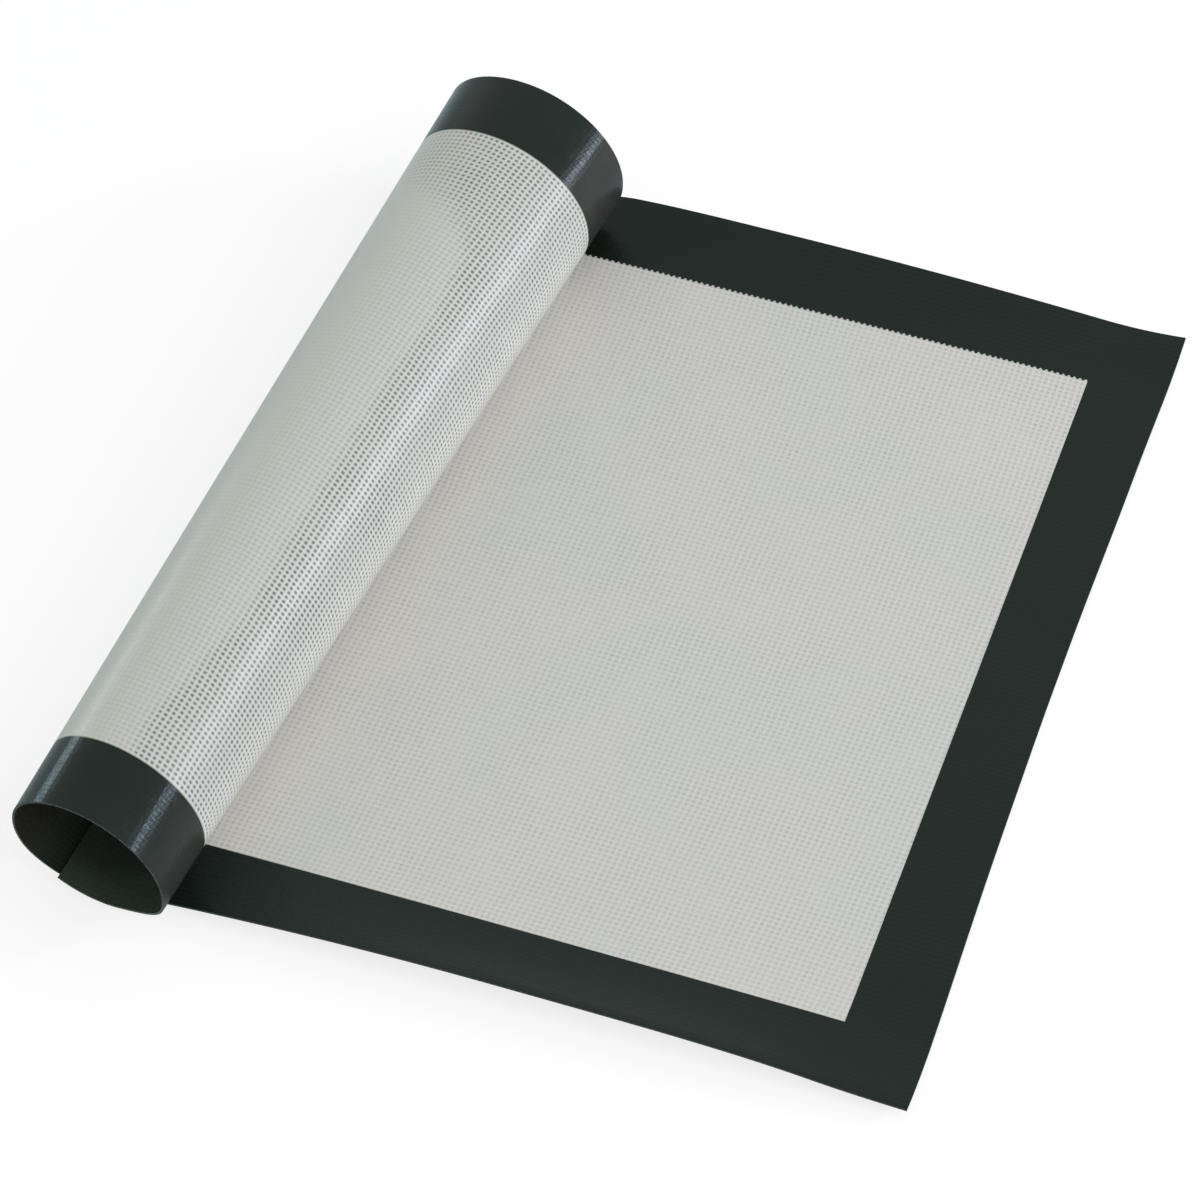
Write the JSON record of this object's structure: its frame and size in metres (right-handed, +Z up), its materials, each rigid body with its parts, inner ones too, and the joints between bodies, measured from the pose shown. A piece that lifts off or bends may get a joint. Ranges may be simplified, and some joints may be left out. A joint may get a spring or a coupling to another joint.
{
  "type": "baking mat",
  "caption": "Rectangular non-stick baking mat: woven glass-fibre mesh between two silicone coats with a dark border, lying flat with one end rolled up.",
  "frame": {"origin": "centre of the flat part's underside, on the surface that the mat lies on", "axes": "+X along the mat's long edges, away from the roll; +Y along its short edges, towards the roll's wide end; +Z up, out of the mat's top face"},
  "size_m": [0.2684, 0.3075, 0.0623],
  "materials": {
    "pale_silicone": "satin, translucent, with a fine woven relief",
    "dark_silicone": "satin, with a fine woven relief",
    "glass_mesh": "plain weave of coated glass-fibre yarns"
  },
  "bodies": {
    "flat": {"flat_mesh": "glass_mesh", "flat_top_coat": "pale_silicone", "flat_back_coat": "pale_silicone", "flat_top_border": "dark_silicone", "flat_back_border": "dark_silicone"},
    "strip_01": {"roll_mesh_01": "glass_mesh", "roll_coats_01": "pale_silicone", "roll_border_01": "dark_silicone"},
    "strip_02": {"roll_mesh_02": "glass_mesh", "roll_coats_02": "pale_silicone", "roll_border_02": "dark_silicone"},
    "strip_03": {"roll_mesh_03": "glass_mesh", "roll_coats_03": "pale_silicone", "roll_border_03": "dark_silicone"},
    "strip_04": {"roll_mesh_04": "glass_mesh", "roll_coats_04": "pale_silicone", "roll_border_04": "dark_silicone"},
    "strip_05": {"roll_mesh_05": "glass_mesh", "roll_coats_05": "pale_silicone", "roll_border_05": "dark_silicone"},
    "strip_06": {"roll_mesh_06": "glass_mesh", "roll_coats_06": "pale_silicone", "roll_border_06": "dark_silicone"},
    "strip_07": {"roll_mesh_07": "glass_mesh", "roll_coats_07": "pale_silicone", "roll_border_07": "dark_silicone"},
    "strip_08": {"roll_mesh_08": "glass_mesh", "roll_coats_08": "pale_silicone", "roll_border_08": "dark_silicone"},
    "strip_09": {"roll_mesh_09": "glass_mesh", "roll_coats_09": "pale_silicone", "roll_border_09": "dark_silicone"},
    "strip_10": {"roll_mesh_10": "glass_mesh", "roll_coats_10": "pale_silicone", "roll_border_10": "dark_silicone"},
    "strip_11": {"roll_mesh_11": "glass_mesh", "roll_coats_11": "pale_silicone", "roll_border_11": "dark_silicone"},
    "strip_12": {"roll_mesh_12": "glass_mesh", "roll_coats_12": "pale_silicone", "roll_border_12": "dark_silicone"},
    "strip_13": {"roll_mesh_13": "glass_mesh", "roll_coats_13": "pale_silicone", "roll_border_13": "dark_silicone"},
    "strip_14": {"roll_mesh_14": "glass_mesh", "roll_coats_14": "pale_silicone", "roll_border_14": "dark_silicone"},
    "strip_15": {"roll_mesh_15": "glass_mesh", "roll_border_15": "dark_silicone"},
    "strip_16": {"roll_mesh_16": "glass_mesh", "roll_border_16": "dark_silicone"}
  },
  "joints": [
    {"name": "unroll_01", "type": "hinge", "parent": "flat", "child": "strip_01", "pos_m": [-0.1125, 0, 0], "axis": [-0.1136, -0.9935, 0], "range_deg": [0, 12.68]},
    {"name": "unroll_02", "type": "hinge", "parent": "strip_01", "child": "strip_02", "pos_m": [-0.12465, -0.00004, 0.00271], "axis": [-0.1066, -0.9943, -0.0016], "range_deg": [0, 24.6]},
    {"name": "unroll_03", "type": "hinge", "parent": "strip_02", "child": "strip_03", "pos_m": [-0.13454, -0.00033, 0.01017], "axis": [-0.1009, -0.9949, -0.0059], "range_deg": [0, 24.6]},
    {"name": "unroll_04", "type": "hinge", "parent": "strip_03", "child": "strip_04", "pos_m": [-0.14043, -0.00104, 0.02099], "axis": [-0.0975, -0.9952, -0.0123], "range_deg": [0, 24.6]},
    {"name": "unroll_05", "type": "hinge", "parent": "strip_04", "child": "strip_05", "pos_m": [-0.14131, -0.00224, 0.03318], "axis": [-0.0971, -0.9951, -0.0194], "range_deg": [0, 24.6]},
    {"name": "unroll_06", "type": "hinge", "parent": "strip_05", "child": "strip_06", "pos_m": [-0.13708, -0.00393, 0.04454], "axis": [-0.0996, -0.9947, -0.026], "range_deg": [0, 24.6]},
    {"name": "unroll_07", "type": "hinge", "parent": "strip_06", "child": "strip_07", "pos_m": [-0.12856, -0.00596, 0.053], "axis": [-0.1046, -0.994, -0.031], "range_deg": [0, 24.6]},
    {"name": "unroll_08", "type": "hinge", "parent": "strip_07", "child": "strip_08", "pos_m": [-0.11733, -0.00813, 0.05707], "axis": [-0.1113, -0.9932, -0.0334], "range_deg": [0, 24.6]},
    {"name": "unroll_09", "type": "hinge", "parent": "strip_08", "child": "strip_09", "pos_m": [-0.10547, -0.0102, 0.05603], "axis": [-0.1182, -0.9924, -0.0328], "range_deg": [0, 24.6]},
    {"name": "unroll_10", "type": "hinge", "parent": "strip_09", "child": "strip_10", "pos_m": [-0.09513, -0.01193, 0.0501], "axis": [-0.1243, -0.9918, -0.0293], "range_deg": [0, 24.6]},
    {"name": "unroll_11", "type": "hinge", "parent": "strip_10", "child": "strip_11", "pos_m": [-0.08819, -0.01311, 0.04039], "axis": [-0.1285, -0.9914, -0.0237], "range_deg": [0, 24.6]},
    {"name": "unroll_12", "type": "hinge", "parent": "strip_11", "child": "strip_12", "pos_m": [-0.08588, -0.01364, 0.02868], "axis": [-0.1298, -0.9914, -0.0168], "range_deg": [0, 24.6]},
    {"name": "unroll_13", "type": "hinge", "parent": "strip_12", "child": "strip_13", "pos_m": [-0.08861, -0.01351, 0.01708], "axis": [-0.1283, -0.9917, -0.01], "range_deg": [0, 24.6]},
    {"name": "unroll_14", "type": "hinge", "parent": "strip_13", "child": "strip_14", "pos_m": [-0.09585, -0.01282, 0.00771], "axis": [-0.124, -0.9923, -0.0045], "range_deg": [0, 24.6]},
    {"name": "unroll_15", "type": "hinge", "parent": "strip_14", "child": "strip_15", "pos_m": [-0.10628, -0.01174, 0.00222], "axis": [-0.1179, -0.993, -0.0013], "range_deg": [0, 24.74]},
    {"name": "unroll_16", "type": "hinge", "parent": "strip_15", "child": "strip_16", "pos_m": [-0.11813, -0.0105, 0.00163], "axis": [-0.111, -0.9938, -0.001], "range_deg": [0, 24.88]}
  ],
  "couplings": [
    {"joint": "unroll_02", "follows": "unroll_01", "ratio": 1.9392},
    {"joint": "unroll_03", "follows": "unroll_01", "ratio": 1.9392},
    {"joint": "unroll_04", "follows": "unroll_01", "ratio": 1.9392},
    {"joint": "unroll_05", "follows": "unroll_01", "ratio": 1.9392},
    {"joint": "unroll_06", "follows": "unroll_01", "ratio": 1.9392},
    {"joint": "unroll_07", "follows": "unroll_01", "ratio": 1.9392},
    {"joint": "unroll_08", "follows": "unroll_01", "ratio": 1.9392},
    {"joint": "unroll_09", "follows": "unroll_01", "ratio": 1.9392},
    {"joint": "unroll_10", "follows": "unroll_01", "ratio": 1.9392},
    {"joint": "unroll_11", "follows": "unroll_01", "ratio": 1.9392},
    {"joint": "unroll_12", "follows": "unroll_01", "ratio": 1.9392},
    {"joint": "unroll_13", "follows": "unroll_01", "ratio": 1.9392},
    {"joint": "unroll_14", "follows": "unroll_01", "ratio": 1.9392},
    {"joint": "unroll_15", "follows": "unroll_01", "ratio": 1.9504},
    {"joint": "unroll_16", "follows": "unroll_01", "ratio": 1.9615}
  ]
}
